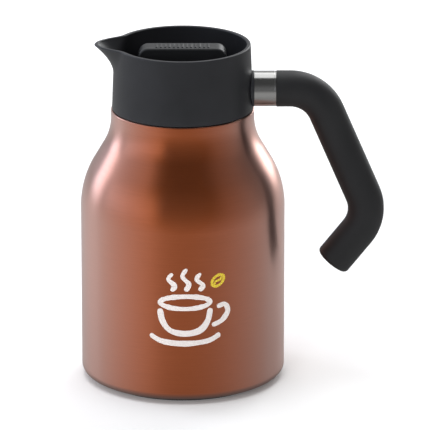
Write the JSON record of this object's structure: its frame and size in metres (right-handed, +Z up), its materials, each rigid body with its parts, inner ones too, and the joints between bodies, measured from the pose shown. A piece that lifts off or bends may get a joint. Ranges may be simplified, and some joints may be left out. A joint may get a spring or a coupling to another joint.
{
  "type": "insulated serving jug",
  "caption": "Double-walled insulated serving jug with a pouring-spout collar, a lift-out stopper with a turning pour valve, and a tubular handle fixed at its top end.",
  "frame": {"origin": "centre of the flat foot pad, on the surface that the jug stands on", "axes": "+Z up the jug's axis, -X towards the spout, +X towards the handle"},
  "size_m": [0.1845, 0.124, 0.2095],
  "materials": {
    "copper_shell": "copper-coloured lacquer over steel brushed round the body",
    "steel": "plain stainless steel",
    "ferrule_steel": "satin turned stainless steel",
    "black_plastic": "satin moulded polypropylene",
    "cap_plastic": "satin moulded polypropylene",
    "soft_grip": "matt soft-touch overmould",
    "silicone": "food-grade silicone",
    "foot_rubber": "matt silicone rubber",
    "brass": "plain brass",
    "insulation": "closed-cell foam",
    "print_white": "screen-printed white ink",
    "print_accent": "screen-printed yellow ink"
  },
  "bodies": {
    "body": {"outer_shell": "copper_shell", "inner_vessel": "steel", "base_plate": "steel", "vacuum_plug": "brass", "getter": "steel", "base_foot": "foot_rubber", "neck_gasket": "silicone", "collar_shell": "black_plastic", "collar_liner": "black_plastic", "handle_root_washer": "black_plastic", "handle_ferrule": "ferrule_steel", "handle_core": "steel", "handle_insert": "brass", "handle_grip": "soft_grip", "handle_screw": "steel", "handle_spring_washer": "steel", "locating_pin_1": "steel", "locating_pin_2": "steel"},
    "plug": {"plug_housing": "black_plastic", "plug_seal": "silicone", "plug_bottom_cover": "black_plastic", "plug_insulation": "insulation", "valve_gasket": "silicone"},
    "cap": {"cap_knob": "cap_plastic", "spindle_screw": "steel", "spindle_washer": "steel", "wave_spring": "steel", "stem_seal": "silicone"}
  },
  "joints": [
    {"name": "stopper_lift", "type": "slide", "parent": "body", "child": "plug", "axis": [0, 0, 1], "range_m": [0, 0.075]},
    {"name": "cap_turn", "type": "hinge", "parent": "plug", "child": "cap", "pos_m": [0, 0, 0.1925], "axis": [0, 0, 1], "range_deg": [0, 90]}
  ]
}
